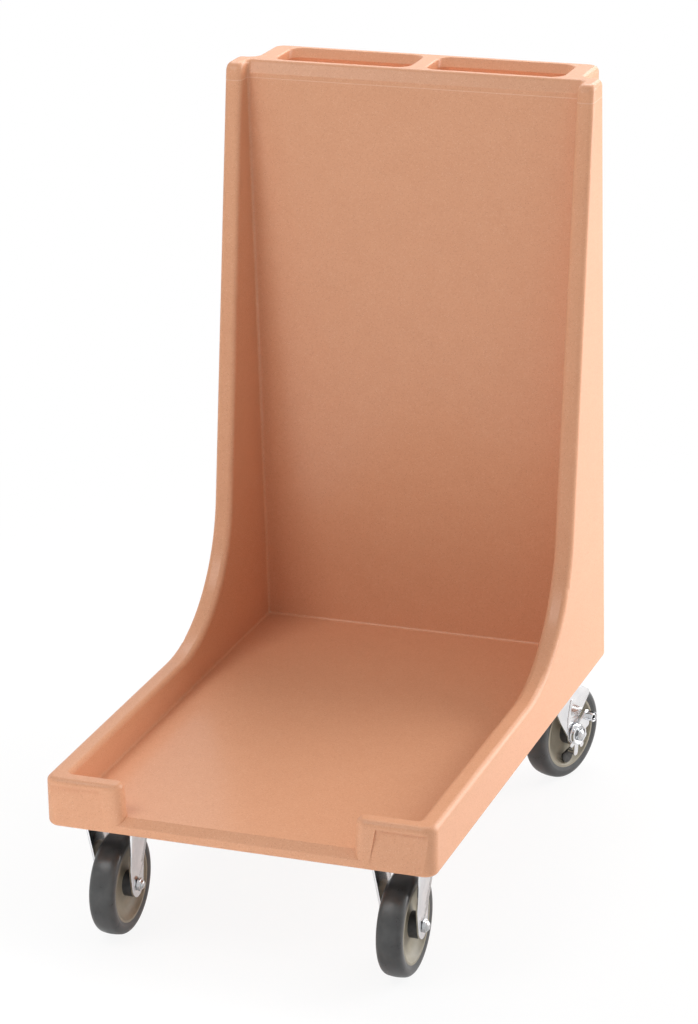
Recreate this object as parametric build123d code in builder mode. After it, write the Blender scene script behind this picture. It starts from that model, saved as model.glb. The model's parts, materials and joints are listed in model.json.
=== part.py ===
"""Tray dolly: a double-walled moulded body on two fixed casters and two braked swivel casters."""

import os
from collections import Counter, namedtuple
from math import radians, tan

from build123d import *

# All sizes are in millimetres. Z is up, X is right and the front faces -Y.
# The origin is on the floor, under the middle of the body.

# Wheels
wheel_diameter = 127.0
tyre_width = 32.0
tyre_crown = 2.5
tyre_sidewall = 5.0
tyre_shoulder = 8.0
tread_depth = 15.5
core_width = 29.6
rim_wall = 3.8
rim_bevel = 1.0
web_thickness = 11.0
web_radius = 27.0
hub_radius = 16.0
hub_length = 40.2
hub_seat = 18.0
bush_radius = 11.0
bush_gap = 0.4

# Axles
axle_radius = 4.76
axle_fit = 0.14
sleeve_radius = 8.0
running_fit = 0.05
axial_play = 0.6
axle_hex = 14.0
axle_head = 5.0
axle_nut_height = 6.0
axle_thread_end = 1.5

# Forks
fork_sheet = 2.8
fork_crown_width = 60.0
fork_bend = 3.0
leg_top_width = 58.0
leg_end_radius = 16.0
leg_shoulder = 19.0
leg_knee = 24.0
leg_knee_bend = 20.0

# Mounting plates and their bolts
plate_width = 60.0
plate_length = 95.0
plate_thickness = 3.2
plate_corner = 6.0
bolt_span_x = 44.0
bolt_span_y = 75.0
bolt_radius = 3.95
bolt_hole_radius = 4.5
bolt_hex = 13.0
bolt_head = 5.5
bolt_grip = 12.0
washer_radius = 8.0
washer_thickness = 1.6
insert_radius = 6.0
insert_bore = 4.05
insert_length = 14.0
boss_wall = 5.0

# Swivel heads
swivel_trail = 38.0
swivel_heading = -20.0
tread_clearance = 19.2
race_gap = 3.2
race_thickness = 4.6
race_rim = 6.0
ball_radius = 3.0
ball_fit = 0.1
upper_ball_circle = 19.0
upper_ball_count = 16
lower_ball_circle = 12.0
lower_ball_count = 10
race_lower_rim = 4.0
kingpin_radius = 6.0
kingpin_head_radius = 10.0
kingpin_head = 6.0
kingpin_head_round = 2.0
kingpin_clearance = 2.0
crown_front = 30.0
crown_back = 14.0
crown_skirt = 9.0
skirt_round = 2.2
crown_round = 8.0
leg_rear_reach = 26.0
leg_rear_drop = 31.0
leg_waist_reach = 7.0
leg_waist_rise = 20.0
rib_reach = 16.0
rib_rise = 33.0
rib_length = 42.0
rib_width = 5.0
rib_height = 1.2

# Brakes
lever_sheet = 2.5
lever_gap = 0.4
lever_hub_radius = 14.0
lever_rim = 4.0
lever_lobes = [((22.0, 8.0), 4.5), ((17.0, -7.0), 4.0), ((10.0, -18.0), 4.0), ((-11.0, -12.0), 4.0)]
pedal_reach = (20.0, 20.0)
pedal_radius = 7.5
pedal_length = 12.0
pad_reach = (-5.0, -31.0)
pad_radius = 10.5
pad_flat = 6.0
pad_turn = 14.0
pad_thickness = 3.0
stem_reach = (-3.0, -26.0)
stem_radius = 3.0
stem_boss = 4.0
brake_washer_radius = 9.0
brake_washer_thickness = 1.2

# Body
body_width = 483.0
body_depth = 753.0
back_height = 777.0
platform_thickness = 20.0
rail_rise = 42.0
wall_at_floor = 25.5
wall_at_top = 22.0
back_foot_inset = 81.0
back_lean = 20.5
crest_run = 10.5
crest_drop = 15.5
crest_round = 2.0
wing_top_length = 46.0
wing_lean = 8.0
wing_bend = 180.0
wing_crest = 12.0
wing_rear_top_inset = 75.0
wing_rear_foot_inset = 40.0
block_side_inset = 24.0
block_corner = 16.0
wing_rear_round = 10.0
wing_rear_flat = 2.0
lip_length = 96.0
lip_draft = 3.0
lip_thickness = 24.0
lip_front_round = 13.0
lip_back_round = 10.0
fascia_recess = 2.4
fascia_inset = 25.5
fascia_slant = 9.5
sill_run = 12.0
sill_rise = 8.0
sill_round = 2.0
front_corner = 16.0
bay_corner = 4.0
floor_round = 3.0
edge_round = 7.0
foot_round = 6.0
skin = 5.0

# Hand pockets
pocket_width = 62.0
pocket_depth = 40.0
pocket_gap = 22.0
pocket_end = 28.0
pocket_corner = 16.0
pocket_rim = 2.5
pocket_foot = 10.0
pocket_floor = 10.0
grip_bar = 22.0
grip_slope_run = 10.0
grip_slope_drop = 10.5

# Vent
vent_radius = 5.0
vent_cap_radius = 9.0
vent_cap = 2.0
vent_stem = 9.0
vent_inset = 45.0

# Caster places, from the outer faces of the body
caster_side_inset = 61.5
caster_front_inset = 72.0
caster_rear_inset = 116.0

# Heights worked out from the floor up
wheel_radius = wheel_diameter / 2
core_radius = wheel_radius - tread_depth
crown_under = wheel_diameter + tread_clearance
crown_top = crown_under + fork_sheet
race_under = crown_top + race_gap
plate_under = race_under + race_thickness
base = plate_under + plate_thickness
platform = base + platform_thickness
rail_top = platform + rail_rise
body_top = base + back_height
crest_under = body_top - crest_drop

# Places worked out along the dolly
front = -body_depth / 2
rear = body_depth / 2
back_foot = rear - back_foot_inset
back_top = back_foot - back_lean
lip_back = front + lip_thickness
wing_back_top = rear - wing_rear_top_inset
wing_back_foot = rear - wing_rear_foot_inset
wing_front_top = wing_back_top - wing_top_length
wing_front_foot = wing_front_top - (body_top - rail_top) * tan(radians(wing_lean))
bay_floor_width = body_width - 2 * wall_at_floor
bay_top_width = body_width - 2 * wall_at_top
block_width = body_width - 2 * block_side_inset
block_root = block_side_inset - wing_rear_round - wing_rear_flat
opening_top = body_width - 2 * lip_length
opening_floor = opening_top - 2 * lip_draft
pocket_length = (block_width - pocket_gap) / 2 - pocket_end
pocket_x = (pocket_gap + pocket_length) / 2
pocket_y = rear - grip_bar - pocket_width / 2

# Places worked out across one caster, from the wheel's middle plane
fork_gap = hub_length + 2 * axial_play
leg_outer = fork_gap / 2 + fork_sheet
lever_inner = leg_outer + lever_gap
lever_outer = lever_inner + lever_sheet
brake_washer_inner = lever_outer + lever_gap
brake_washer_outer = brake_washer_inner + brake_washer_thickness
axle_hole = axle_radius + axle_fit

Station = namedtuple("Station", "name x y heading brake_side")
caster_x = body_width / 2 - caster_side_inset
front_stations = [
    Station("front_left", -caster_x, front + caster_front_inset, 0.0, 0),
    Station("front_right", caster_x, front + caster_front_inset, 0.0, 0),
]
rear_stations = [
    Station("rear_left", -caster_x, rear - caster_rear_inset, swivel_heading, -1),
    Station("rear_right", caster_x, rear - caster_rear_inset, swivel_heading, 1),
]
stations = front_stations + rear_stations


def save(piece, node):
    """Label one finished piece and write it to its own file."""
    piece.part.label = node
    export_step(piece.part, f"parts/{node}.step")


def axle_direction(station):
    """Direction of the wheel's axle, towards the right."""
    return Vector(1, 0, 0).rotate(Axis.Z, station.heading)


def trail_direction(station):
    """Level direction in which the wheel trails behind its mounting."""
    return Vector(0, 1, 0).rotate(Axis.Z, station.heading)


def wheel_centre(station):
    """Middle of the wheel: under a fixed caster's plate, or behind a swivel's pin."""
    trail = swivel_trail if station.brake_side else 0.0
    return Vector(station.x, station.y, wheel_radius) + trail_direction(station) * trail


def axle_axis(station):
    """Line that the wheel turns about."""
    return Axis(wheel_centre(station), axle_direction(station))


def side_plane(station, offset=0.0):
    """Plane square to the axle through the wheel's middle: X trails behind, Y is up."""
    origin = wheel_centre(station) + axle_direction(station) * offset
    return Plane(origin=origin, x_dir=trail_direction(station), z_dir=axle_direction(station))


def section_plane(station):
    """Upright plane along the axle: X runs along the axle, Y is up from the axle."""
    return Plane(
        origin=wheel_centre(station), x_dir=axle_direction(station), z_dir=-trail_direction(station)
    )


def level_plane(station, height):
    """Level plane over the caster's mounting, square to the body."""
    return Plane(origin=(station.x, station.y, height))


def crown_plane(station):
    """Floor plane under a swivel's pin: X runs along the axle, Y trails behind."""
    return Plane(origin=(station.x, station.y, 0), x_dir=axle_direction(station), z_dir=(0, 0, 1))


def mount_under(station):
    """Underside of the sheet that the mounting bolts clamp."""
    return plate_under if station.brake_side else base - fork_sheet


def bolt_places():
    """Corners of the bolt pattern in a mounting plate."""
    return GridLocations(bolt_span_x, bolt_span_y, 2, 2)


def side_outline(start):
    """Outline of the body from the side: low rail, sweeping bend, leaning wing and rear edge."""
    with BuildSketch() as outline:
        with BuildLine():
            run = FilletPolyline(
                (start, rail_top),
                (wing_front_foot, rail_top),
                (wing_front_top, body_top),
                (wing_back_top, body_top),
                radius=[wing_bend, wing_crest],
            )
            Polyline(run @ 1, (wing_back_foot, base), (start, base), run @ 0)
        make_face()
    return outline.sketch


def back_hollow(low):
    """Closed space behind the leaning panel and under the hand pockets."""
    box_front = back_foot + skin
    box_back = rear - skin
    box_top = body_top - pocket_depth - pocket_floor
    lean = back_lean * (box_top - platform) / (crest_under - platform)
    with BuildPart() as box:
        with BuildSketch(Plane.YZ):
            with BuildLine():
                Polyline(
                    (box_front, low),
                    (box_front, platform),
                    (box_front - lean, box_top),
                    (box_back, box_top),
                    (box_back, low),
                    close=True,
                )
            make_face()
        extrude(amount=block_width / 2 - skin, both=True)
        fillet(box.edges().filter_by(Axis.Z).group_by(Axis.Y)[-1], block_corner - skin)
    return box.part


def make_hollow():
    """Closed space between the body's skins, left solid around the threaded inserts."""
    low = base + skin
    box = back_hollow(low)
    slab_front = front + skin
    slab_back = wing_back_foot - skin
    wall_inner = bay_top_width / 2 + skin
    wall_hollow = body_width / 2 - skin - wall_inner
    wall = side_outline(lip_back)
    with BuildPart() as hollow:
        with BuildSketch(Plane.XY.offset(low)):
            with Locations((0, (slab_front + slab_back) / 2)):
                RectangleRounded(body_width - 2 * skin, slab_back - slab_front, front_corner - skin)
        extrude(amount=platform_thickness - 2 * skin)
        add(box)
        for wall_start in (wall_inner, -wall_inner - wall_hollow):
            with BuildSketch(Plane.YZ.offset(wall_start)):
                add(wall)
                offset(amount=-skin, mode=Mode.REPLACE)
            extrude(amount=wall_hollow)
        for station in stations:
            with BuildSketch(level_plane(station, low)):
                with bolt_places():
                    Circle(insert_radius + boss_wall)
            extrude(amount=platform_thickness - skin, mode=Mode.SUBTRACT)
    return hollow.part


def make_bay():
    """Space that holds the trays, widening upwards between the walls, with rounded corners."""
    with BuildPart() as bay:
        with BuildSketch(Plane.XZ):
            with BuildLine():
                Polyline(
                    (-bay_floor_width / 2, platform),
                    (bay_floor_width / 2, platform),
                    (bay_top_width / 2, body_top),
                    (-bay_top_width / 2, body_top),
                    close=True,
                )
            make_face()
        extrude(amount=body_depth, both=True)
        with BuildSketch(Plane.YZ):
            with BuildLine():
                Polyline(
                    (lip_back, platform),
                    (back_foot, platform),
                    (back_top, crest_under),
                    (back_top + crest_run, body_top),
                    (lip_back, body_top),
                    close=True,
                )
            make_face()
        extrude(amount=body_width, both=True, mode=Mode.INTERSECT)
        fillet(at_height(bay.edges().filter_by(Axis.X), crest_under), crest_round)
        fillet(upright(bay.edges(), back_height / 2), bay_corner)
        fillet(bay.faces().sort_by(Axis.Z)[0].edges(), floor_round)
    return bay.part


def make_fascias():
    """Shallow wedges that set the lips' fronts back under their rounded tops."""
    bead_under = rail_top - edge_round - fascia_recess
    inner_top = opening_top / 2 + fascia_inset
    with BuildPart() as fascias:
        with BuildSketch(Plane.XZ):
            with BuildLine():
                Polyline(
                    (inner_top, bead_under),
                    (body_width / 2, bead_under),
                    (body_width / 2, base),
                    (inner_top - fascia_slant, base),
                    close=True,
                )
            make_face()
            mirror(about=Plane.YZ)
        extrude(amount=body_depth)
        with BuildSketch(Plane.YZ):
            with BuildLine():
                Polyline(
                    (front, base + foot_round),
                    (front, bead_under),
                    (front + fascia_recess, bead_under),
                    close=True,
                )
            make_face()
        extrude(amount=body_width, both=True, mode=Mode.INTERSECT)
    return fascias.part


def make_grip_slopes():
    """Wider mouths of the hand pockets, which slope down from the top of the grip bar."""
    with BuildPart() as slopes:
        for x in (-pocket_x, pocket_x):
            with BuildSketch(Plane.XY.offset(body_top - grip_slope_drop)):
                with Locations((x, pocket_y)):
                    RectangleRounded(pocket_length, pocket_width, pocket_corner)
            with BuildSketch(Plane.XY.offset(body_top)):
                with Locations((x, pocket_y + grip_slope_run / 2)):
                    RectangleRounded(pocket_length, pocket_width + grip_slope_run, pocket_corner)
            loft(ruled=True)
    return slopes.part


def upright(edges, height):
    """Edges that climb at least a given height."""
    return edges.filter_by(lambda edge: edge.bounding_box().size.Z > height)


def wing_rear_edges(edges):
    """Upright corners on the sloping rear of the wings, from the middle outwards."""
    middle = (wing_back_top + wing_back_foot) / 2
    tall = upright(edges, back_height / 2)
    sloping = tall.filter_by(lambda edge: abs(edge.center().Y - middle) < edge_round)
    return sloping.sort_by(lambda edge: abs(edge.center().X))


def is_lip_end(edge):
    """Upright corner at the inner end of a front lip."""
    centre = edge.center()
    return abs(centre.X) < (opening_top + lip_length) / 2 and centre.Y < lip_back + floor_round / 2


def is_upper_face(face):
    """Face on top of the rails, lips, wings or back box."""
    normal = face.normal_at()
    centre = face.center()
    steepest = tan(radians(wing_lean)) / 2
    on_crest = centre.Y > back_top - crest_run and centre.Z < body_top - crest_round / 2
    return normal.Z > max(normal.Y, steepest) and centre.Z > rail_top - edge_round / 2 and not on_crest


def at_height(shapes, height):
    """Flat-lying shapes at one height."""
    return shapes.filter_by(lambda shape: abs(shape.center().Z - height) < edge_round / 2)


def make_body():
    """Moulded body: platform, rails, wings, back box with its hand pockets, and front lips."""
    low = rail_rise / 2
    outline = side_outline(front)
    bay = make_bay()
    fascias = make_fascias()
    grip_slopes = make_grip_slopes()
    hollow = make_hollow()
    with BuildPart() as body:
        with BuildSketch(Plane.YZ):
            add(outline)
        extrude(amount=body_width / 2, both=True)
        fillet(body.edges().filter_by(Axis.Z).group_by(Axis.Y)[0], front_corner)
        with BuildSketch(Plane.XY.offset(base)) as box:
            with Locations((0, (back_top + rear) / 2)):
                Rectangle(block_width, rear - back_top)
            fillet(box.vertices().group_by(Axis.Y)[-1], block_corner)
        extrude(amount=back_height)
        add(bay, mode=Mode.SUBTRACT)

        # The gap between the lips, cut past the rounding at the foot of the bay
        with BuildSketch(Plane.XZ.offset(-front)):
            with BuildLine():
                Polyline(
                    (-opening_floor / 2, platform),
                    (opening_floor / 2, platform),
                    (opening_top / 2, rail_top),
                    (-opening_top / 2, rail_top),
                    close=True,
                )
            make_face()
        extrude(amount=-lip_thickness - floor_round, mode=Mode.SUBTRACT)

        # Upright corners come before the edges that run over them
        fillet(wing_rear_edges(body.edges())[:2], block_root)
        fillet(wing_rear_edges(body.edges())[-2:], wing_rear_round)
        fillet(upright(body.edges(), low).filter_by(is_lip_end).group_by(Axis.Y)[0], lip_front_round)
        fillet(upright(body.edges(), low).filter_by(is_lip_end).group_by(Axis.Y)[-1], lip_back_round)

        # One rounding runs round the rails, wings, lips and the top of the back
        upper = body.faces().filter_by(is_upper_face)
        uses = Counter(edge for face in upper for edge in face.edges())
        fillet([edge for edge, count in uses.items() if count == 1], edge_round)

        deck = at_height(body.faces().filter_by(Axis.Z), platform)[0]
        sill = at_height(body.edges().filter_by(Axis.X).group_by(Axis.Y)[0], platform)[0]
        chamfer(sill, sill_run, sill_rise, reference=deck)
        nose = at_height(body.edges().filter_by(Axis.X).group_by(Axis.Y)[0], platform - sill_rise)
        fillet(nose, sill_round)
        fillet(body.faces().sort_by(Axis.Z)[0].edges(), foot_round)
        add(fascias, mode=Mode.SUBTRACT)

        with BuildSketch(Plane.XY.offset(body_top)):
            with Locations((-pocket_x, pocket_y), (pocket_x, pocket_y)):
                RectangleRounded(pocket_length, pocket_width, pocket_corner)
        extrude(amount=-pocket_depth, mode=Mode.SUBTRACT)
        add(grip_slopes, mode=Mode.SUBTRACT)
        fillet(at_height(body.faces().filter_by(Axis.Z), body_top - pocket_depth).edges(), pocket_foot)
        crest = body.faces().filter_by(Axis.Z).group_by(Axis.Z)[-1].sort_by(SortBy.AREA)[-1]
        fillet([edge for wire in crest.inner_wires() for edge in wire.edges()], pocket_rim)

        add(hollow, mode=Mode.SUBTRACT)
        for station in stations:
            with BuildSketch(level_plane(station, base)):
                with bolt_places():
                    Circle(insert_radius)
            extrude(amount=insert_length, mode=Mode.SUBTRACT)
        with BuildSketch(Plane.XY.offset(base)):
            with Locations((0, rear - vent_inset)):
                Circle(vent_radius)
        extrude(amount=skin, mode=Mode.SUBTRACT)
    save(body, "dolly_body")


def make_body_fittings():
    """Vent plug, threaded inserts, and the bolts and washers that hold the casters."""
    with BuildPart() as plug:
        with BuildSketch(Plane.XY.offset(base - vent_cap)):
            with Locations((0, rear - vent_inset)):
                Circle(vent_cap_radius)
        extrude(amount=vent_cap)
        with BuildSketch(Plane.XY.offset(base)):
            with Locations((0, rear - vent_inset)):
                Circle(vent_radius)
        extrude(amount=vent_stem)
        fillet(plug.edges().filter_by(GeomType.CIRCLE).sort_by(Axis.Z)[0], vent_cap / 2)
    save(plug, "vent_plug")

    with BuildPart() as inserts:
        for station in stations:
            with BuildSketch(level_plane(station, base)):
                with bolt_places():
                    Circle(insert_radius)
                    Circle(insert_bore, mode=Mode.SUBTRACT)
            extrude(amount=insert_length)
    save(inserts, "caster_inserts")

    with BuildPart() as washers:
        for station in stations:
            with BuildSketch(level_plane(station, mount_under(station))):
                with bolt_places():
                    Circle(washer_radius)
                    Circle(bolt_hole_radius, mode=Mode.SUBTRACT)
            extrude(amount=-washer_thickness)
    save(washers, "caster_washers")

    with BuildPart() as bolts:
        for station in stations:
            head_top = mount_under(station) - washer_thickness
            with BuildSketch(level_plane(station, head_top)):
                with bolt_places():
                    RegularPolygon(bolt_hex / 2, 6, major_radius=False)
            extrude(amount=-bolt_head)
            with BuildSketch(level_plane(station, head_top)):
                with bolt_places():
                    Circle(bolt_radius)
            extrude(amount=base + bolt_grip - head_top)
    save(bolts, "caster_bolts")


def make_wheel(station):
    """Tyre, dished core and the two flanged bushes in its hub."""
    with BuildPart() as tyre:
        with BuildSketch(section_plane(station)) as profile:
            with BuildLine():
                crown = ThreePointArc(
                    (-tyre_width / 2, wheel_radius - tyre_crown),
                    (0, wheel_radius),
                    (tyre_width / 2, wheel_radius - tyre_crown),
                )
                Polyline(
                    crown @ 1,
                    (tyre_width / 2, core_radius + tyre_sidewall),
                    (core_width / 2, core_radius),
                    (-core_width / 2, core_radius),
                    (-tyre_width / 2, core_radius + tyre_sidewall),
                    crown @ 0,
                )
            make_face()
            fillet(profile.vertices().group_by(Axis.Y)[-1], tyre_shoulder)
        revolve(axis=axle_axis(station))
    save(tyre, f"{station.name}_tyre")

    rim_inner = core_radius - rim_wall
    with BuildPart() as core:
        with BuildSketch(section_plane(station)):
            with BuildLine():
                Polyline(
                    (0, bush_radius),
                    (hub_seat / 2, bush_radius),
                    (hub_seat / 2, hub_radius),
                )
                ThreePointArc(
                    (hub_seat / 2, hub_radius),
                    (web_thickness / 2, web_radius),
                    (core_width / 2 - rim_bevel, rim_inner),
                )
                Polyline(
                    (core_width / 2 - rim_bevel, rim_inner),
                    (core_width / 2, rim_inner + rim_bevel),
                    (core_width / 2, core_radius),
                    (0, core_radius),
                )
                mirror(about=Plane.YZ)
            make_face()
        revolve(axis=axle_axis(station))
    save(core, f"{station.name}_wheel_core")

    with BuildPart() as bushes:
        for side in (-1, 1):
            with BuildSketch(side_plane(station, side * bush_gap / 2)):
                Circle(bush_radius)
                Circle(sleeve_radius + running_fit, mode=Mode.SUBTRACT)
            extrude(amount=side * (hub_seat - bush_gap) / 2)
            with BuildSketch(side_plane(station, side * hub_seat / 2)):
                Circle(hub_radius)
                Circle(sleeve_radius + running_fit, mode=Mode.SUBTRACT)
            extrude(amount=side * (hub_length - hub_seat) / 2)
    save(bushes, f"{station.name}_hub_bushes")


def make_axle(station):
    """Axle bolt, lock nut and the sleeve that the hub turns on."""
    nut_side = station.brake_side or 1
    clamped = brake_washer_outer if station.brake_side else leg_outer
    with BuildPart() as sleeve:
        with BuildSketch(side_plane(station, -fork_gap / 2)):
            Circle(sleeve_radius)
            Circle(axle_hole, mode=Mode.SUBTRACT)
        extrude(amount=fork_gap)
    save(sleeve, f"{station.name}_axle_sleeve")

    with BuildPart() as bolt:
        with BuildSketch(side_plane(station, -nut_side * leg_outer)):
            RegularPolygon(axle_hex / 2, 6, major_radius=False)
        extrude(amount=-nut_side * axle_head)
        with BuildSketch(side_plane(station, -nut_side * leg_outer)):
            Circle(axle_radius)
        extrude(amount=nut_side * (leg_outer + clamped + axle_nut_height + axle_thread_end))
    save(bolt, f"{station.name}_axle_bolt")

    with BuildPart() as nut:
        with BuildSketch(side_plane(station, nut_side * clamped)):
            RegularPolygon(axle_hex / 2, 6, major_radius=False)
            Circle(axle_hole, mode=Mode.SUBTRACT)
        extrude(amount=nut_side * axle_nut_height)
    save(nut, f"{station.name}_axle_nut")


def leg_line(inset, top):
    """Corners and bend radii of the fork's outside (inset 0) or inside, seen along the wheel."""
    crown = top - wheel_radius - inset
    shoulder = top - wheel_radius - leg_shoulder
    half = fork_crown_width / 2 - inset
    hub = leg_outer - inset
    right = [(half, crown), (half, shoulder), (hub, leg_knee), (hub, -leg_end_radius)]
    left = [(-across, up) for across, up in reversed(right)]
    bends = [leg_knee_bend, leg_knee_bend, fork_bend + fork_sheet - inset]
    return left + right, bends + bends[::-1]


def fork_section(top, rise=0.0):
    """Inverted U of bent sheet seen along the wheel, thicker on the outside by the height of a rib."""
    outer_corners, outer_bends = leg_line(-rise, top)
    inner_corners, inner_bends = leg_line(fork_sheet, top)
    with BuildSketch() as section:
        with BuildLine():
            outside = FilletPolyline(*outer_corners, radius=outer_bends)
            inside = FilletPolyline(*inner_corners, radius=inner_bends)
            Line(outside @ 0, inside @ 0)
            Line(outside @ 1, inside @ 1)
        make_face()
    return section.sketch


def make_fixed_fork(station):
    """Fixed fork: mounting plate and two tapered legs pressed from one sheet."""
    plate_bottom = base - fork_sheet - wheel_radius
    section = fork_section(base)
    with BuildPart() as fork:
        with BuildSketch(section_plane(station)):
            add(section)
        extrude(amount=plate_length / 2, both=True)
        with BuildSketch(side_plane(station)):
            Circle(leg_end_radius)
            with Locations((0, plate_bottom)):
                Rectangle(leg_top_width, fork_sheet)
            make_hull()
            with Locations((0, plate_bottom + fork_sheet / 2)):
                Rectangle(plate_length, fork_sheet)
        extrude(amount=fork_crown_width, both=True, mode=Mode.INTERSECT)
        with BuildSketch(level_plane(station, base)):
            with bolt_places():
                Circle(bolt_hole_radius)
        extrude(amount=-fork_sheet, mode=Mode.SUBTRACT)
        with BuildSketch(side_plane(station)):
            Circle(axle_hole)
        extrude(amount=fork_crown_width, both=True, mode=Mode.SUBTRACT)
    save(fork, f"{station.name}_fork")


def ball_groove(station, circle, height):
    """Ring that a row of balls sweeps, with its running fit."""
    with BuildPart(level_plane(station, height)) as groove:
        Torus(circle, ball_radius + ball_fit)
    return groove.part


def make_swivel_head(station):
    """Top plate with its race, the kingpin, the lower race and both rings of balls."""
    upper_ball_height = crown_top + race_gap / 2
    lower_ball_height = crown_under - race_gap / 2
    lower_race_top = crown_under - race_gap
    upper_groove = ball_groove(station, upper_ball_circle, upper_ball_height)
    lower_groove = ball_groove(station, lower_ball_circle, lower_ball_height)
    with BuildPart() as top_plate:
        with BuildSketch(level_plane(station, plate_under)):
            RectangleRounded(plate_width, plate_length, plate_corner)
            with bolt_places():
                Circle(bolt_hole_radius, mode=Mode.SUBTRACT)
        extrude(amount=plate_thickness)
        with BuildSketch(level_plane(station, race_under)):
            Circle(upper_ball_circle + race_rim)
        extrude(amount=race_thickness)
        add(upper_groove, mode=Mode.SUBTRACT)
        with BuildSketch(level_plane(station, race_under)):
            Circle(kingpin_radius)
        extrude(amount=race_thickness + plate_thickness, mode=Mode.SUBTRACT)
    save(top_plate, f"{station.name}_top_plate")

    with BuildPart() as lower_race:
        with BuildSketch(level_plane(station, lower_race_top)):
            Circle(lower_ball_circle + race_lower_rim)
            Circle(kingpin_radius, mode=Mode.SUBTRACT)
        extrude(amount=-race_thickness)
        add(lower_groove, mode=Mode.SUBTRACT)
    save(lower_race, f"{station.name}_lower_race")

    head_top = lower_race_top - race_thickness
    with BuildPart() as kingpin:
        with BuildSketch(level_plane(station, head_top)):
            Circle(kingpin_radius)
        extrude(amount=base - head_top)
        with BuildSketch(level_plane(station, head_top)):
            Circle(kingpin_head_radius)
        extrude(amount=-kingpin_head)
        fillet(kingpin.edges().sort_by(Axis.Z)[0], kingpin_head_round)
    save(kingpin, f"{station.name}_kingpin")

    rings = {
        "upper_balls": (upper_ball_circle, upper_ball_count, upper_ball_height),
        "lower_balls": (lower_ball_circle, lower_ball_count, lower_ball_height),
    }
    for ring, (circle, count, height) in rings.items():
        with BuildPart(level_plane(station, height)) as balls:
            with PolarLocations(circle, count):
                Sphere(ball_radius)
        save(balls, f"{station.name}_{ring}")


def leg_ribs(station):
    """Upright stiffening ribs on the outsides of a swivel fork's legs."""
    section = fork_section(crown_top, rib_height)
    with BuildPart() as ribs:
        with BuildSketch(section_plane(station)):
            add(section)
        extrude(amount=swivel_trail + fork_crown_width, both=True)
        with BuildSketch(side_plane(station)):
            with Locations((-rib_reach, rib_rise)):
                SlotOverall(rib_length, rib_width, rotation=90)
        extrude(amount=fork_crown_width, both=True, mode=Mode.INTERSECT)
    return ribs.part


def make_swivel_fork(station):
    """Swivel fork: crown over the pin and two legs that sweep back to the axle."""
    crown = crown_top - wheel_radius
    pin = -swivel_trail
    section = fork_section(crown_top)
    ribs = leg_ribs(station)
    upper_groove = ball_groove(station, upper_ball_circle, crown_top + race_gap / 2)
    lower_groove = ball_groove(station, lower_ball_circle, crown_under - race_gap / 2)
    with BuildPart() as fork:
        with BuildSketch(section_plane(station)):
            add(section)
        extrude(amount=swivel_trail + fork_crown_width, both=True)
        with BuildSketch(side_plane(station)):
            with BuildLine():
                swept = FilletPolyline(
                    (-leg_end_radius, 0),
                    (pin - crown_front, crown - crown_skirt),
                    (pin - crown_front, crown),
                    (pin + crown_back, crown),
                    (leg_rear_reach, crown - leg_rear_drop),
                    (leg_waist_reach, leg_waist_rise),
                    (leg_end_radius, 0),
                    radius=[skirt_round, skirt_round, crown_round, crown_round, crown_round],
                )
                ThreePointArc(swept @ 1, (0, -leg_end_radius), swept @ 0)
            make_face()
        extrude(amount=fork_crown_width, both=True, mode=Mode.INTERSECT)
        with BuildSketch(crown_plane(station)):
            Circle(fork_crown_width / 2)
            Rectangle(fork_crown_width, 2 * swivel_trail, align=(Align.CENTER, Align.MIN))
        extrude(amount=crown_top, mode=Mode.INTERSECT)
        add(ribs)
        add(upper_groove, mode=Mode.SUBTRACT)
        add(lower_groove, mode=Mode.SUBTRACT)
        with BuildSketch(level_plane(station, crown_under)):
            Circle(kingpin_radius + kingpin_clearance)
        extrude(amount=fork_sheet, mode=Mode.SUBTRACT)
        with BuildSketch(side_plane(station)):
            Circle(axle_hole)
        extrude(amount=fork_crown_width, both=True, mode=Mode.SUBTRACT)
    save(fork, f"{station.name}_fork")


def lever_arm(root, reach, tip):
    """Arm of the lever from its hub to a rounded tip."""
    with BuildSketch() as arm:
        Circle(root)
        with Locations(reach):
            Circle(tip)
        make_hull()
    return arm.sketch


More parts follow.
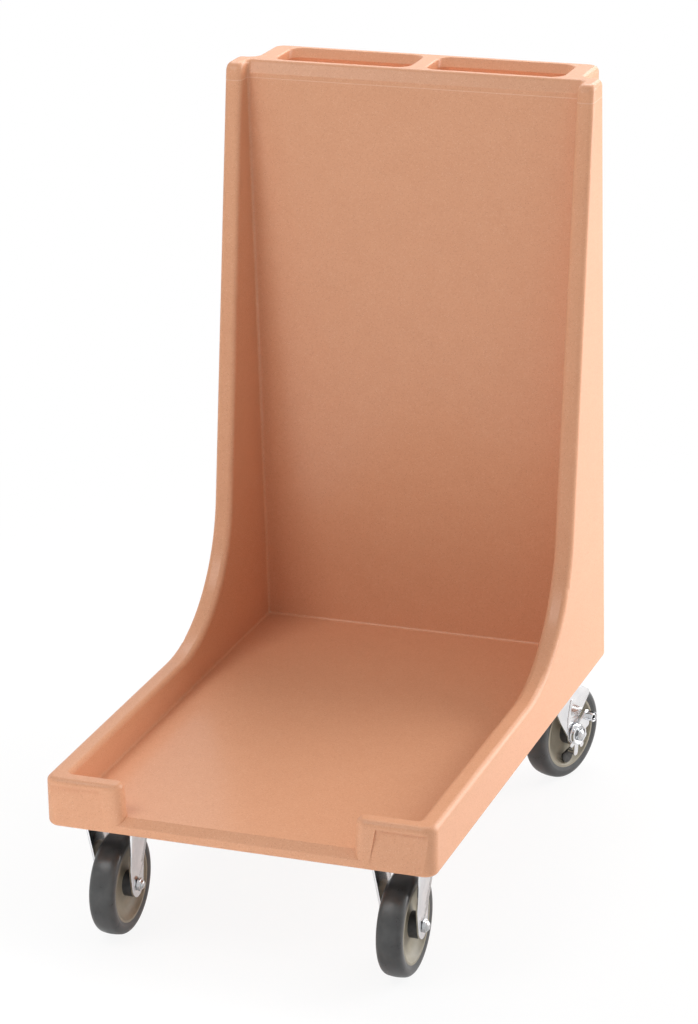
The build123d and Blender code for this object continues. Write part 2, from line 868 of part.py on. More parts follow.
def make_brake(station):
    """Brake lever with its rolled pedal, the friction pad it carries, and its spring washer."""
    out = station.brake_side
    arms = [lever_arm(tip, reach, tip) for reach, tip in lever_lobes]
    arms.append(lever_arm(pedal_radius, pedal_reach, pedal_radius))
    arms.append(lever_arm(pedal_radius, stem_reach, stem_boss))
    with BuildPart() as lever:
        with BuildSketch(side_plane(station, out * lever_inner)):
            Circle(lever_hub_radius)
            add(arms)
            Circle(axle_radius + running_fit, mode=Mode.SUBTRACT)
        extrude(amount=out * lever_sheet)
        with BuildSketch(side_plane(station, out * lever_outer)):
            Circle(lever_hub_radius)
            Circle(lever_hub_radius - lever_sheet, mode=Mode.SUBTRACT)
        extrude(amount=out * lever_rim)
        with BuildSketch(side_plane(station, out * lever_outer)):
            with Locations(pedal_reach):
                Circle(pedal_radius)
                Circle(pedal_radius - lever_sheet, mode=Mode.SUBTRACT)
        extrude(amount=out * pedal_length)
        with BuildSketch(side_plane(station, out * lever_inner)):
            with Locations(stem_reach):
                Circle(stem_radius)
        extrude(amount=-out * (lever_inner - core_width / 2))
    save(lever, f"{station.name}_brake_lever")

    with BuildPart() as pad:
        with BuildSketch(side_plane(station, out * core_width / 2)):
            with Locations(pad_reach):
                Circle(pad_radius)
            with Locations(Location((*pad_reach, 0), (0, 0, pad_turn))):
                with Locations((0, pad_flat)):
                    Rectangle(
                        2 * pad_radius,
                        2 * pad_radius,
                        align=(Align.CENTER, Align.MAX),
                        mode=Mode.INTERSECT,
                    )
        extrude(amount=-out * pad_thickness)
    save(pad, f"{station.name}_brake_pad")

    with BuildPart() as washer:
        with BuildSketch(side_plane(station, out * brake_washer_inner)):
            Circle(brake_washer_radius)
            Circle(axle_hole, mode=Mode.SUBTRACT)
        extrude(amount=out * brake_washer_thickness)
    save(washer, f"{station.name}_brake_washer")


os.makedirs("parts", exist_ok=True)
make_body()
make_body_fittings()
for caster in stations:
    make_wheel(caster)
    make_axle(caster)
for caster in front_stations:
    make_fixed_fork(caster)
for caster in rear_stations:
    make_swivel_head(caster)
    make_swivel_fork(caster)
    make_brake(caster)
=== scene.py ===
"""Looks of the tray dolly: speckled moulded body, plated casters, studio floor, light and camera."""

import json
import math

import bmesh
import bpy
import numpy as np
from mathutils import Matrix, Vector

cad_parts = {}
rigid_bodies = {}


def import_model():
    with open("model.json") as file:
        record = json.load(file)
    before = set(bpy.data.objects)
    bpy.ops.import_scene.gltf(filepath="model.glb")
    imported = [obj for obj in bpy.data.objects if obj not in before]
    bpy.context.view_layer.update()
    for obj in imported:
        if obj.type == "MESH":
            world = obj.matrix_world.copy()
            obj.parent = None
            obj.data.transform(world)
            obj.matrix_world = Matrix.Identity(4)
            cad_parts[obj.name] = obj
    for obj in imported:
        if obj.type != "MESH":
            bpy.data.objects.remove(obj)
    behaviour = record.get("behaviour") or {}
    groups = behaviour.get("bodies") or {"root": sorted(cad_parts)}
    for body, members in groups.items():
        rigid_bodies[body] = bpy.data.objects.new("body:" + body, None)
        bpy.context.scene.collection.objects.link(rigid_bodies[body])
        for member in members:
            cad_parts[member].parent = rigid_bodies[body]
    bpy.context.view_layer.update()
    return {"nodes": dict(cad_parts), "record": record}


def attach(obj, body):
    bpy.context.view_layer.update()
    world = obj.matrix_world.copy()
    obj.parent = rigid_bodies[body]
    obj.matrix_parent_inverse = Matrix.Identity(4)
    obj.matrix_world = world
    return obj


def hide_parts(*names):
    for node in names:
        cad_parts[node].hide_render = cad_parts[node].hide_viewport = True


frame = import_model()
nodes = frame["nodes"]

MM = 0.001
TAU = 2 * math.pi
NEARLY_ZERO = 1e-6

# Edges that turn by more than this are left sharp, or are rounded as cut edges
SHARP = math.radians(35)

# Light that falls on the dolly from all round, where 1 alone shows a colour as it is written
ROOM_LIGHT = 0.40

# Soft lamps: place and aim in metres, width in metres, power in watts, spread in degrees
MIDDLE = (0.0, 0.1, 0.45)
LAMPS = {
    "key_lamp": ((-1.0, -1.6, 2.6), MIDDLE, 1.2, 24.0, 180.0),
    "right_lamp": ((2.7, 2.4, 1.5), MIDDLE, 3.0, 146.0, 180.0),
    "rear_lamp": ((-0.5, 1.7, 2.6), MIDDLE, 1.6, 30.0, 180.0),
    "rim_lamp": ((0.3, 2.2, 1.9), (0.0, 0.3, 0.9), 1.0, 11.0, 180.0),
    "near_floor_lamp": ((-0.45, -1.05, 0.4), (-0.45, -1.05, 0.0), 1.2, 4.7, 50.0),
    "far_floor_lamp": ((-0.4, -2.8, 0.8), (-0.4, -2.8, 0.0), 2.0, 15.0, 60.0),
}

# Floor: half its width in metres, its colour, how much of it is seen or mirrored as plain white, and
# from where to where, in metres from the middle, its shade fades out
FLOOR_HALF = 30.0
FLOOR_COLOUR = (0.90, 0.90, 0.90)
FLOOR_SEEN_WHITE = 0.90
FLOOR_MIRRORED_WHITE = 0.45
SHADE_NEAR = 0.6
SHADE_FAR = 1.6
WHITE = (1.0, 1.0, 1.0)

# Camera: angles in degrees, distances in metres, lens in pixels of a picture so many rows high, and the
# sensor in millimetres
CAMERA_TURN = 20.01
CAMERA_RISE = 19.84
CAMERA_ROLL = -0.93
CAMERA_TARGET = (-0.0005, 0.0249, 0.4398)
CAMERA_DISTANCE = 4.3267
CAMERA_REACH = 100.0
CAMERA_LENS = 3520.7
CAMERA_ROWS = 1024.0
SENSOR_HEIGHT = 36.0

# Colours: the two that a finish runs between, or the one of a mark on it
PEACH = ((0.715, 0.349, 0.197), (0.765, 0.391, 0.230))
DARK_SPECK = (0.46, 0.19, 0.095)
PALE_SPECK = (0.90, 0.60, 0.43)
# Painted highlight: the parting line's colour is paler than the plastic to stand for the light that its edge
# catches
PARTING_LINE_HIGHLIGHT = (0.93, 0.66, 0.50)
ZINC = ((0.70, 0.71, 0.73), (0.78, 0.785, 0.795))
ZINC_SPOT = (0.58, 0.58, 0.57)
STEEL = ((0.52, 0.53, 0.54), (0.68, 0.69, 0.70))
BRASS = ((0.56, 0.40, 0.16), (0.74, 0.56, 0.26))
TREAD = ((0.044, 0.045, 0.046), (0.066, 0.067, 0.066))
CORE = ((0.25, 0.225, 0.170), (0.33, 0.295, 0.225))
BUSH = ((0.040, 0.042, 0.046), (0.065, 0.067, 0.072))
PAD = ((0.028, 0.026, 0.024), (0.052, 0.049, 0.046))

# Where cloudy values are cut off below and above, for soft, softer and softest clouds
SOFT = (0.3, 0.7)
SOFTER = (0.25, 0.75)
SOFTEST = (0.2, 0.8)

# Plastic's skin: how much of its colour is in broad clouds, and of its relief in the parting line
CLOUD_SHARE = 0.25
SEAM_RELIEF = 0.7

# Moulding's parting line, raised in relief and tinted paler as a painted highlight, in metres: its height,
# and half its width where it is full and where it ends
SEAM_HEIGHT = 0.9155
SEAM_FULL = 0.3 * MM
SEAM_END = 0.9 * MM

# Drawn sheet's lines: how many times finer they lie along X and Y than along the height
DRAWN_LINES = (14.0, 14.0, 1.0)

# Pressed sheet, in metres: corners closer than the weld are one, and cut edges are rounded in a few steps
WELD = 0.01 * MM
SHEET_EDGE = 0.5 * MM
SHEET_EDGE_STEPS = 2

# Fasteners, in millimetres, with the chamfer's circle as a share of the width over the flats. The last three
# are steps: all round, along each stretch of a profile, and along each stretch of the threaded end
HEX_SIDES = 6
HEX_FLATS = 14.0
HEX_CHAMFER = 0.93
HEX_FACE = HEX_CHAMFER * HEX_FLATS / 2
HEX_CORNER = HEX_FLATS / 2 / math.cos(math.pi / HEX_SIDES)
HEX_SLOPE = (HEX_CORNER - HEX_FACE) / 2
AXLE_RADIUS = 4.7
AXLE_HEAD = 5.0
NUT_COLLAR = 5.9
NUT_COLLAR_HEIGHT = 1.5
NUT_ROUNDING = NUT_COLLAR_HEIGHT / 3
THREAD_PITCH = 1.0
THREAD_DEPTH = 0.45
THREAD_LENGTH = 8.0
FASTENER_AROUND = 96
FASTENER_STEPS = 6
THREAD_STEPS = 40

# Brake pad's stem, in millimetres. Places on the brake are given as trail behind the axle and height over it
STEM_PLACE = (-3.0, -26.0)
STEM_RADIUS = 3.0
STEM_FLARE = 0.3 * STEM_RADIUS
STEM_AROUND = 48
STEM_RINGS = 24

# Rolled pedal, in millimetres: its sheet is a spiral of so many turns, which starts at an angle
PEDAL_PLACE = (20.0, 20.0)
PEDAL_RADIUS = 7.5
PEDAL_SHEET = 1.7
PEDAL_EDGE = PEDAL_SHEET / 5
PEDAL_PITCH = 2.9
PEDAL_TURNS = 1.45
PEDAL_START = TAU / 8
PEDAL_AROUND = 90
PEDAL_STEPS = 3

# Brake lever, in millimetres. The rim's foot is a share of the way from the hub to an arm's end, and each
# arm has the place and the radius of its round end
LEVER_SHEET = 2.5
LEVER_GAP = 0.4
LEVER_HUB = 14.0
LEVER_RIM = 4.0
LEVER_EDGE = 0.9
LEVER_FOOT = 0.02
LEVER_ARMS = [
    ((22.0, 8.0), 4.5), ((17.0, -7.0), 4.0), ((10.0, -18.0), 4.0), ((-11.0, -12.0), 4.0),
    (STEM_PLACE, 4.0), (PEDAL_PLACE, 7.4),
]
LEVER_AROUND = 360
LEVER_STEPS = 4


class Sock:
    """A shader socket that Python arithmetic can be written with."""

    def __init__(self, tree, socket):
        self.tree = tree
        self.socket = socket

    def node(self, kind, settings=None, out=0, **inputs):
        """Add any other node: its settings first, then values or links by socket name, or as i0, i1, ..."""
        made = self.tree.nodes.new(kind)
        for key, value in (settings or {}).items():
            setattr(made, key, value)
        for key, value in inputs.items():
            name = int(key[1:]) if key[0] == "i" and key[1:].isdigit() else key.replace("_", " ")
            feed(self.tree, value, made.inputs[name])
        return Sock(self.tree, made.outputs[out])

    def math(self, operation, other=0.0):
        """Add a Math node on this value and another one."""
        return self.node("ShaderNodeMath", {"operation": operation}, i0=self, i1=other)

    def __add__(self, other):
        return self.math("ADD", other)

    def __radd__(self, other):
        return self.math("ADD", other)

    def __sub__(self, other):
        return self.math("SUBTRACT", other)

    def __rsub__(self, other):
        return self.node("ShaderNodeMath", {"operation": "SUBTRACT"}, i0=other, i1=self)

    def __mul__(self, other):
        return self.math("MULTIPLY", other)

    def __rmul__(self, other):
        return self.math("MULTIPLY", other)

    def smooth(self, low, high):
        """0 below low, 1 above high, eased between."""
        settings = {"interpolation_type": "SMOOTHSTEP"}
        return self.node("ShaderNodeMapRange", settings, Value=self, From_Min=low, From_Max=high)

    def tint(self, first, second):
        """Colour that runs from first to second as this value goes from 0 to 1."""
        settings = {"data_type": "RGBA", "clamp_factor": True}
        # The sockets for colours come after those for numbers and vectors
        return self.node("ShaderNodeMix", settings, out=2, i0=self, i6=first, i7=second)

    def mark(self, base, colour, strength):
        """Base colour, turned towards another by this strength where the value is 1."""
        return (strength * self).tint(base, colour)


def feed(tree, value, socket):
    """Link a socket to another one, or write a plain value on it."""
    if isinstance(value, Sock):
        tree.links.new(value.socket, socket)
    elif isinstance(value, tuple) and len(value) == 3 and socket.type == "RGBA":
        socket.default_value = (*value, 1)
    else:
        socket.default_value = value


class Finish:
    """A material with one Principled shader, its Object coordinates, and helpers for grain."""

    def __init__(self, name, **constants):
        self.material = bpy.data.materials.new(name)
        self.material.use_nodes = True
        self.tree = self.material.node_tree
        self.shader = self.tree.nodes["Principled BSDF"]
        coordinates = self.tree.nodes.new("ShaderNodeTexCoord")
        self.place = Sock(self.tree, coordinates.outputs["Object"])
        self.set(**constants)

    def set(self, **inputs):
        """Feed the shader's sockets, named with underscores for spaces."""
        for key, value in inputs.items():
            feed(self.tree, value, self.shader.inputs[key.replace("_", " ")])

    def noise(self, scale, detail, place=None):
        """Soft cloudy value, about 0.5 in the middle; scale is in features per metre."""
        where = place or self.place
        return where.node("ShaderNodeTexNoise", Vector=where, Scale=scale, Detail=detail)

    def specks(self, scale, size, chosen, shift=0.0):
        """1 in specks round some of many scattered points: full and ending at the two sizes, in shares of
        the points' spacing, and only where a point's random number lies past the two chosen values."""
        where = self.place.node("ShaderNodeVectorMath", {"operation": "ADD"}, i0=self.place,
                                i1=(shift, shift, shift))
        near = where.node("ShaderNodeTexVoronoi", Vector=where, Scale=scale)
        colour = Sock(self.tree, near.socket.node.outputs["Color"])
        pick = colour.node("ShaderNodeSeparateColor", out="Red", Color=colour)
        return (1 - near.smooth(*size)) * pick.smooth(*chosen)

    def stretched(self, factors):
        """Object coordinates pulled out by a factor along each axis."""
        return self.place.node("ShaderNodeVectorMath", {"operation": "MULTIPLY"}, i0=self.place, i1=factors)

    def bump(self, height, distance, strength):
        """Fine relief: height from 0 to 1 stands distance metres high."""
        relief = self.place.node("ShaderNodeBump", Height=height, Distance=distance, Strength=strength)
        self.set(Normal=relief)


def speckled_plastic():
    """Peach rotational moulding: fine darker and paler specks in the plastic, pebbled satin skin, and a
    raised parting line tinted paler as a painted highlight.
    """
    finish = Finish("speckled_peach_plastic", IOR=1.49, Specular_IOR_Level=0.12, Coat_Weight=0.35,
                    Coat_Roughness=0.20)
    cloud = finish.noise(scale=38.0, detail=3.0).smooth(*SOFTER)
    fine = finish.noise(scale=420.0, detail=2.0).smooth(*SOFTEST)
    dark = finish.specks(scale=620.0, size=(0.16, 0.34), chosen=(0.62, 0.70))
    pale = finish.specks(scale=540.0, size=(0.14, 0.32), chosen=(0.66, 0.74), shift=0.37)
    height = finish.place.node("ShaderNodeSeparateXYZ", out="Z", Vector=finish.place)
    # The parting line's band: it carries both the line's real relief and its painted highlight
    seam_and_highlight = 1 - (height - SEAM_HEIGHT).math("ABSOLUTE").smooth(SEAM_FULL, SEAM_END)
    skin = finish.noise(scale=950.0, detail=2.0)
    base = (CLOUD_SHARE * cloud + (1 - CLOUD_SHARE) * fine).tint(*PEACH)
    base = dark.mark(base, DARK_SPECK, strength=0.55)
    base = pale.mark(base, PALE_SPECK, strength=0.50)
    # Painted highlight: the parting line is tinted paler, standing for the light that its edge catches
    base = seam_and_highlight.mark(base, PARTING_LINE_HIGHLIGHT, strength=0.30)
    finish.set(Base_Color=base, Roughness=0.46 + 0.10 * skin + 0.04 * cloud)
    finish.bump((1 - SEAM_RELIEF) * skin + SEAM_RELIEF * seam_and_highlight, distance=0.6 * MM, strength=0.4)
    return finish.material


def bright_zinc():
    """Bright zinc plate on pressed sheet: faint drawing lines, cloudy passivate, small dull spots."""
    finish = Finish("bright_zinc_plate", Metallic=1.0)
    lines = finish.noise(scale=60.0, detail=4.0, place=finish.stretched(DRAWN_LINES)).smooth(*SOFTEST)
    cloud = finish.noise(scale=70.0, detail=3.0).smooth(*SOFT)
    spots = finish.specks(scale=240.0, size=(0.10, 0.30), chosen=(0.7, 0.8))
    base = spots.mark(cloud.tint(*ZINC), ZINC_SPOT, strength=0.20)
    finish.set(Base_Color=base, Roughness=0.12 + 0.05 * lines + 0.04 * cloud + 0.06 * spots)
    finish.bump(lines, distance=0.03 * MM, strength=0.2)
    return finish.material


def plated_steel():
    """Plated bolts, nuts and pins: duller cloudy grey with a fine grain."""
    finish = Finish("plated_fastener_steel", Metallic=1.0)
    cloud = finish.noise(scale=160.0, detail=3.0).smooth(*SOFT)
    grain = finish.noise(scale=900.0, detail=2.0)
    finish.set(Base_Color=cloud.tint(*STEEL), Roughness=0.24 + 0.14 * grain)
    finish.bump(grain, distance=0.04 * MM, strength=0.3)
    return finish.material


def insert_brass():
    """Turned brass of the threaded inserts, a little tarnished."""
    finish = Finish("turned_insert_brass", Metallic=1.0)
    cloud = finish.noise(scale=220.0, detail=3.0).smooth(*SOFT)
    finish.set(Base_Color=cloud.tint(*BRASS), Roughness=0.28 + 0.15 * cloud)
    return finish.material


def grey_tread():
    """Smooth dark grey tread: soft sheen, faint dust and tiny pores."""
    finish = Finish("grey_tread_rubber", IOR=1.5)
    dust = finish.noise(scale=55.0, detail=4.0).smooth(0.35, 0.75)
    pores = finish.noise(scale=1100.0, detail=2.0)
    finish.set(Base_Color=dust.tint(*TREAD), Roughness=0.25 + 0.12 * dust + 0.06 * pores)
    finish.bump(pores, distance=0.05 * MM, strength=0.25)
    return finish.material


def tan_core():
    """Tan-olive moulded wheel core: faint flow marks and rubbed-in dust."""
    finish = Finish("tan_wheel_core", IOR=1.49)
    flow = finish.noise(scale=45.0, detail=4.0).smooth(*SOFT)
    grain = finish.noise(scale=800.0, detail=2.0)
    finish.set(Base_Color=flow.tint(*CORE), Roughness=0.42 + 0.12 * grain + 0.08 * flow)
    finish.bump(grain, distance=0.1 * MM, strength=0.3)
    return finish.material


def dark_bush():
    """Dark grey moulded hub bush with a soft gloss."""
    finish = Finish("dark_hub_bush", IOR=1.5)
    cloud = finish.noise(scale=120.0, detail=3.0).smooth(*SOFT)
    grain = finish.noise(scale=900.0, detail=2.0)
    finish.set(Base_Color=cloud.tint(*BUSH), Roughness=0.36 + 0.15 * grain)
    finish.bump(grain, distance=0.1 * MM, strength=0.25)
    return finish.material


def pad_rubber():
    """Matt dark rubber of the brake pad, pebbled."""
    finish = Finish("brake_pad_rubber", IOR=1.5)
    grain = finish.noise(scale=1000.0, detail=3.0)
    cloud = finish.noise(scale=180.0, detail=3.0).smooth(*SOFT)
    finish.set(Base_Color=cloud.tint(*PAD), Roughness=0.55 + 0.2 * grain)
    finish.bump(grain, distance=0.2 * MM, strength=0.5)
    return finish.material


FINISHES = {
    "body_plastic": speckled_plastic(),
    "fork_plate": bright_zinc(),
    "fastener_steel": plated_steel(),
    "insert_brass": insert_brass(),
    "tyre_rubber": grey_tread(),
    "core_plastic": tan_core(),
    "hub_plastic": dark_bush(),
    "pad_rubber": pad_rubber(),
}


def dress_cad_nodes():
    """Give every solid the finish of its slot in the record."""
    for entry in frame["record"]["subparts"]:
        mesh = nodes[entry["node"]].data
        mesh.materials.clear()
        mesh.materials.append(FINISHES[entry["material_slot"]])


class Caster:
    """Where one wheel is and how it is turned, from the joint that it rolls on."""

    def __init__(self, joint):
        self.name = joint["name"].removesuffix("_roll")
        self.body = joint["parent"]
        self.swivels = self.body != "dolly"
        self.centre = np.array(joint["pos_m"])
        self.axle = np.array(joint["axis"], dtype=float)
        self.up = np.array((0.0, 0.0, 1.0))
        self.trail = np.cross(self.up, self.axle)
        self.nut_side = math.copysign(1, self.along_axle("axle_nut").mean())

    def along_axle(self, node):
        """How far each vertex of a solid lies along the axle from the wheel's middle, in millimetres."""
        mesh = nodes[f"{self.name}_{node}"].data
        places = np.empty(3 * len(mesh.vertices))
        mesh.vertices.foreach_get("co", places)
        return (places.reshape(-1, 3) - self.centre) @ self.axle / MM

    def span(self, node):
        """Nearest and farthest that a solid reaches along the axle, towards the nut, in millimetres."""
        along = self.nut_side * self.along_axle(node)
        return along.min(), along.max()

    def lever_face(self):
        """Place of the brake lever's outer face on the axle, a gap short of the washer, in millimetres."""
        return self.span("brake_washer")[0] - LEVER_GAP

    def turned(self, radius, angle, along, place=(0.0, 0.0)):
        """Points in metres, from millimetres: a radius and an angle round a place behind and over the axle,
        and how far along it they lie towards the nut, with one value for each ring."""
        trail = place[0] + radius * np.cos(angle)
        up = place[1] + radius * np.sin(angle)
        offsets = np.stack(np.broadcast_arrays(trail, up, self.nut_side * along[:, None]), axis=-1)
        return self.centre + MM * offsets @ np.stack([self.trail, self.up, self.axle])


def close_skin(name, rings, tube):
    """Quads through a grid of points: its columns run round, and its rows close too or end in flat caps."""
    rows, around = rings.shape[:2]
    index = np.arange(rows * around).reshape(rows, around)
    below = index if tube else index[:-1]
    above = np.roll(index, -1, axis=0) if tube else index[1:]
    quads = np.stack([below, np.roll(below, -1, axis=1), np.roll(above, -1, axis=1), above], axis=-1)
    faces = quads.reshape(-1, 4).tolist()
    if not tube:
        faces += index[[0, -1]].tolist()
    mesh = bpy.data.meshes.new(name)
    mesh.from_pydata(rings.reshape(-1, 3).tolist(), [], faces)
    shell = bmesh.new()
    shell.from_mesh(mesh)
    bmesh.ops.recalc_face_normals(shell, faces=shell.faces)
    shell.to_mesh(mesh)
    shell.free()
    mesh.shade_smooth()
    mesh.set_sharp_from_angle(angle=SHARP)
    return mesh


def put_piece(mesh, slot, body, node):
    """Show a worked-out surface in place of a solid, riding on the solid's body."""
    mesh.materials.append(FINISHES[slot])
    piece = bpy.data.objects.new(mesh.name, mesh)
    bpy.context.scene.collection.objects.link(piece)
    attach(piece, body)
    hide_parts(node)
    return piece


def pressed_sheet(node, slot, body):
    """Copy of a pressed solid with its triangles joined and its cut edges rounded."""
    shell = bmesh.new()
    shell.from_mesh(nodes[node].data)
    bmesh.ops.remove_doubles(shell, verts=shell.verts, dist=WELD)
    mesh = bpy.data.meshes.new(f"{node}_pressing")
    shell.to_mesh(mesh)
    shell.free()
    mesh.shade_smooth()
    piece = put_piece(mesh, slot, body, node)
    bevel = piece.modifiers.new("cut_edges", "BEVEL")
    bevel.width = SHEET_EDGE
    bevel.segments = SHEET_EDGE_STEPS
    bevel.limit_method = "ANGLE"
    bevel.angle_limit = SHARP
    bevel.harden_normals = True


def hexagon(angle):
    """Radius: half the width over flats, divided by the cosine of the angle to the nearest flat's middle."""
    sector = TAU / HEX_SIDES
    return HEX_FLATS / 2 / np.cos(angle % sector - sector / 2)


def full_turn(steps):
    """Angles of so many equal steps round the axle."""
    return np.arange(steps) * TAU / steps


def refine(profile, steps):
    """Profile points with each straight stretch cut into equal steps, as one row for each coordinate."""
    corners = np.array(profile, dtype=float)
    places = np.arange((len(corners) - 1) * steps + 1) / steps
    return np.stack([np.interp(places, np.arange(len(corners)), column) for column in corners.T])


def lock_nut(caster):
    """Chamfered lock nut: the radius is the smaller of the hexagon's and the turned profile's."""
    near, far = caster.span("axle_nut")
    shoulder = far - NUT_COLLAR_HEIGHT
    along, limit = refine([
        (near, AXLE_RADIUS), (near, HEX_FACE), (near + HEX_SLOPE, HEX_CORNER),
        (shoulder - HEX_SLOPE, HEX_CORNER), (shoulder, HEX_FACE), (shoulder, NUT_COLLAR),
        (far - NUT_ROUNDING, NUT_COLLAR), (far, NUT_COLLAR - NUT_ROUNDING), (far, AXLE_RADIUS),
    ], FASTENER_STEPS)
    angle = full_turn(FASTENER_AROUND)
    radius = np.minimum(hexagon(angle), limit[:, None])
    return close_skin(f"{caster.name}_lock_nut", caster.turned(radius, angle, along), tube=True)


def axle_bolt(caster):
    """Hex bolt: the radius is the smaller of the hexagon's and the turned profile's. At its end a thread
    takes off a depth that rises and falls as a cosine, once in each pitch along it and once round it."""
    start, end = caster.span("axle_bolt")
    head = start + AXLE_HEAD
    thread_start = end - THREAD_LENGTH
    shank = refine([
        (start, HEX_FACE), (start + HEX_SLOPE, HEX_CORNER), (head, HEX_CORNER), (head, AXLE_RADIUS),
        (thread_start, AXLE_RADIUS),
    ], FASTENER_STEPS)
    tail = refine([
        (thread_start, AXLE_RADIUS), (end - THREAD_PITCH, AXLE_RADIUS), (end, AXLE_RADIUS - THREAD_PITCH),
    ], THREAD_STEPS)
    along, limit = np.concatenate([shank, tail[:, 1:]], axis=1)
    angle = full_turn(FASTENER_AROUND)
    groove = 0.5 - 0.5 * np.cos(TAU * (along[:, None] - thread_start) / THREAD_PITCH - angle)
    depth = THREAD_DEPTH * groove * (along > thread_start)[:, None]
    radius = np.minimum(hexagon(angle), limit[:, None]) - depth
    return close_skin(f"{caster.name}_hex_axle", caster.turned(radius, angle, along), tube=False)


def arm_reach(angle, place, tip):
    """How far a round-ended arm reaches from the hub in each direction: to its side, or to its round end."""
    length = math.hypot(*place)
    turn = angle - math.atan2(place[1], place[0])
    ahead, across = np.cos(turn), np.abs(np.sin(turn))
    side = tip / np.maximum(across, NEARLY_ZERO)
    end = length * ahead + np.sqrt(np.maximum(tip ** 2 - (length * across) ** 2, 0))
    return np.where(ahead <= 0, tip, np.where(side * ahead <= length, side, end))


def lever_plate(caster):
    """Pressed lever: a ring from the bore to the farthest arm in each direction, its profile carried round
    the axle over the outer face, the raised rim, the rounded edge and back along the inner face. A profile
    point has a radius, a share of the way from the hub to an arm's end, an inset and a place on the axle."""
    outer = caster.lever_face()
    inner = outer - LEVER_SHEET
    middle = (outer + inner) / 2
    rim = outer + LEVER_RIM
    wall = LEVER_HUB - LEVER_SHEET
    soft = LEVER_EDGE / 2
    tuck = LEVER_EDGE / 4
    base, share, inset, along = refine([
        (AXLE_RADIUS, 0, 0, inner), (AXLE_RADIUS, 0, 0, outer), (wall, 0, 0, outer),
        (wall, 0, 0, rim - soft), (wall + soft, 0, 0, rim), (LEVER_HUB - soft, 0, 0, rim),
        (LEVER_HUB, 0, 0, rim - soft), (LEVER_HUB, LEVER_FOOT, 0, outer), (LEVER_HUB, 1, LEVER_EDGE, outer),
        (LEVER_HUB, 1, tuck, outer - soft), (LEVER_HUB, 1, 0, middle), (LEVER_HUB, 1, tuck, inner + soft),
        (LEVER_HUB, 1, LEVER_EDGE, inner), (LEVER_HUB, 0, 0, inner), (AXLE_RADIUS, 0, 0, inner),
    ], LEVER_STEPS)[:, :-1]
    angle = full_turn(LEVER_AROUND)
    reach = np.max([arm_reach(angle, place, tip) for place, tip in LEVER_ARMS], axis=0)
    beyond = np.maximum(reach, LEVER_HUB + LEVER_EDGE) - LEVER_HUB
    radius = base[:, None] + share[:, None] * beyond - inset[:, None]
    return close_skin(f"{caster.name}_pressed_lever", caster.turned(radius, angle, along), tube=True)


def rolled_pedal(caster):
    """Rolled pedal: a spiral whose radius falls by one pitch in each turn, as thick as its sheet and drawn
    along the axle to a thinner, softened end."""
    start = caster.lever_face() - LEVER_SHEET / 2
    end = caster.span("brake_lever")[1]
    turn = np.linspace(0, PEDAL_TURNS * TAU, PEDAL_AROUND)
    middle = PEDAL_RADIUS - PEDAL_SHEET / 2 - PEDAL_PITCH * turn / TAU
    along, thick = refine([
        (start, PEDAL_SHEET), (end - PEDAL_EDGE, PEDAL_SHEET), (end, PEDAL_SHEET - 2 * PEDAL_EDGE),
    ], PEDAL_STEPS)
    outer = middle + thick[:, None] / 2
    inner = middle - thick[:, None] / 2
    radius = np.concatenate([outer, inner[:, ::-1]], axis=1)
    angle = PEDAL_START - np.concatenate([turn, turn[::-1]])
    rings = caster.turned(radius, angle, along, PEDAL_PLACE)
    return close_skin(f"{caster.name}_rolled_pedal", rings, tube=False)


def pad_stem(caster):
    """Round stem from the pad to the lever: a circle drawn along the axle. Its radius grows by a flare that
    dies away exponentially with the distance from the lever."""
    start = caster.span("brake_lever")[0]
    end = caster.lever_face() - LEVER_SHEET / 2
    along = np.linspace(start, end, STEM_RINGS)
    flare = np.exp(-(end - along) / STEM_RADIUS)
    radius = STEM_RADIUS + STEM_FLARE * flare[:, None]
    rings = caster.turned(radius, full_turn(STEM_AROUND), along, STEM_PLACE)
    return close_skin(f"{caster.name}_pad_stem", rings, tube=False)


def fit_casters():
    """Finer axle bolts, nuts and forks on every caster, and formed brake levers on the swivel casters."""
    for joint in frame["record"]["behaviour"]["joints"]:
        if not joint["name"].endswith("_roll"):
            continue
        caster = Caster(joint)
        put_piece(axle_bolt(caster), "fastener_steel", caster.body, f"{caster.name}_axle_bolt")
        put_piece(lock_nut(caster), "fastener_steel", caster.body, f"{caster.name}_axle_nut")
        pressed_sheet(f"{caster.name}_fork", "fork_plate", caster.body)
        if caster.swivels:
            for shape in (lever_plate, rolled_pedal, pad_stem):
                put_piece(shape(caster), "fork_plate", f"{caster.name}_brake", f"{caster.name}_brake_lever")


def ways_seen(tree):
    """Two values: 1 for what is seen straight or through something clear, and 1 for what is mirrored."""
    path = tree.nodes.new("ShaderNodeLightPath")
    camera, through, mirrored = (
        Sock(tree, path.outputs[name]) for name in ("Is Camera Ray", "Is Transmission Ray", "Is Glossy Ray")
    )
    return camera.math("MAXIMUM", through), mirrored


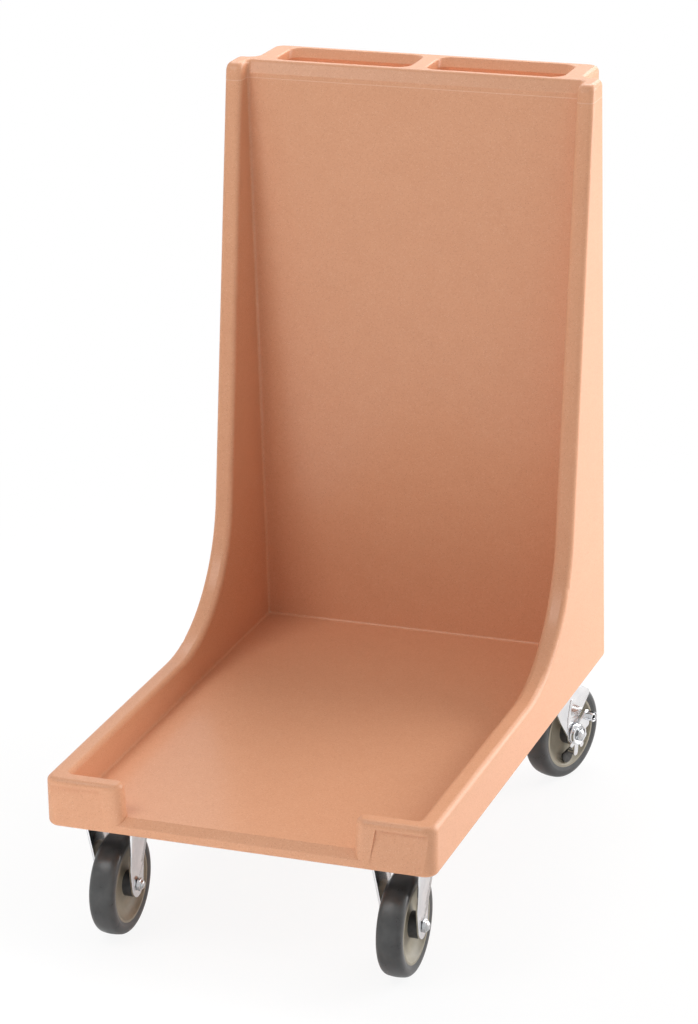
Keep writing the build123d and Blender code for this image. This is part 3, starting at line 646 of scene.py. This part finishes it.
def lay_floor():
    """Plain pale floor, far wider than the dolly: it takes the shadow near by and is seen white far off."""
    mesh = bpy.data.meshes.new("floor")
    corners = [(-FLOOR_HALF, -FLOOR_HALF, 0), (FLOOR_HALF, -FLOOR_HALF, 0)]
    corners += [(FLOOR_HALF, FLOOR_HALF, 0), (-FLOOR_HALF, FLOOR_HALF, 0)]
    mesh.from_pydata(corners, [], [(0, 1, 2, 3)])
    floor = bpy.data.objects.new("floor", mesh)
    bpy.context.scene.collection.objects.link(floor)
    finish = Finish("pale_floor", Roughness=0.9, Base_Color=FLOOR_COLOUR)
    seen, mirrored = ways_seen(finish.tree)
    away = finish.place.node("ShaderNodeVectorMath", {"operation": "LENGTH"}, out="Value", i0=finish.place)
    white_share = FLOOR_SEEN_WHITE + (1 - FLOOR_SEEN_WHITE) * away.smooth(SHADE_NEAR, SHADE_FAR)
    share = (white_share * seen).math("MAXIMUM", FLOOR_MIRRORED_WHITE * mirrored)
    shaded = Sock(finish.tree, finish.shader.outputs["BSDF"])
    white = seen.node("ShaderNodeEmission", Color=WHITE, Strength=1.0)
    mixed = seen.node("ShaderNodeMixShader", i0=share, i1=shaded, i2=white)
    feed(finish.tree, mixed, finish.tree.nodes["Material Output"].inputs["Surface"])
    mesh.materials.append(finish.material)


def add_lamp(name, place, aim, width, power, spread):
    """Square soft lamp at a place, turned towards what it lights."""
    lamp = bpy.data.lights.new(name, "AREA")
    lamp.size = width
    lamp.energy = power
    lamp.spread = math.radians(spread)
    holder = bpy.data.objects.new(name, lamp)
    bpy.context.scene.collection.objects.link(holder)
    aside = Vector(place) - Vector(aim)
    holder.matrix_world = Matrix.Translation(place) @ aside.to_track_quat("Z", "Y").to_matrix().to_4x4()


def light_studio():
    """White room light all round, a key lamp in front, soft lamps behind and beside, and a lit floor."""
    world = bpy.data.worlds.new("studio")
    bpy.context.scene.world = world
    world.use_nodes = True
    tree = world.node_tree
    room = tree.nodes["Background"]
    feed(tree, WHITE, room.inputs["Color"])
    seen, mirrored = ways_seen(tree)
    white = seen.math("MAXIMUM", mirrored)
    feed(tree, white + ROOM_LIGHT * (1 - white), room.inputs["Strength"])
    for name, settings in LAMPS.items():
        add_lamp(name, *settings)


def set_camera():
    """Long lens at the height and turn that the dolly is seen from."""
    turn, rise, roll = (math.radians(angle) for angle in (CAMERA_TURN, CAMERA_RISE, CAMERA_ROLL))
    away = Vector((math.sin(turn) * math.cos(rise), -math.cos(turn) * math.cos(rise), math.sin(rise)))
    level = Vector((math.cos(turn), math.sin(turn), 0.0))
    upright = away.cross(level)
    right = math.cos(roll) * level + math.sin(roll) * upright
    up = math.cos(roll) * upright - math.sin(roll) * level
    lens = bpy.data.cameras.new("camera")
    lens.sensor_fit = "VERTICAL"
    lens.sensor_height = SENSOR_HEIGHT
    lens.lens = CAMERA_LENS / CAMERA_ROWS * SENSOR_HEIGHT
    lens.clip_end = CAMERA_REACH
    camera = bpy.data.objects.new("camera", lens)
    bpy.context.scene.collection.objects.link(camera)
    turned = Matrix((right, up, away)).transposed().to_4x4()
    camera.matrix_world = Matrix.Translation(Vector(CAMERA_TARGET) + CAMERA_DISTANCE * away) @ turned
    bpy.context.scene.camera = camera


dress_cad_nodes()
fit_casters()
lay_floor()
light_studio()
set_camera()
bpy.context.scene.view_settings.view_transform = "Standard"
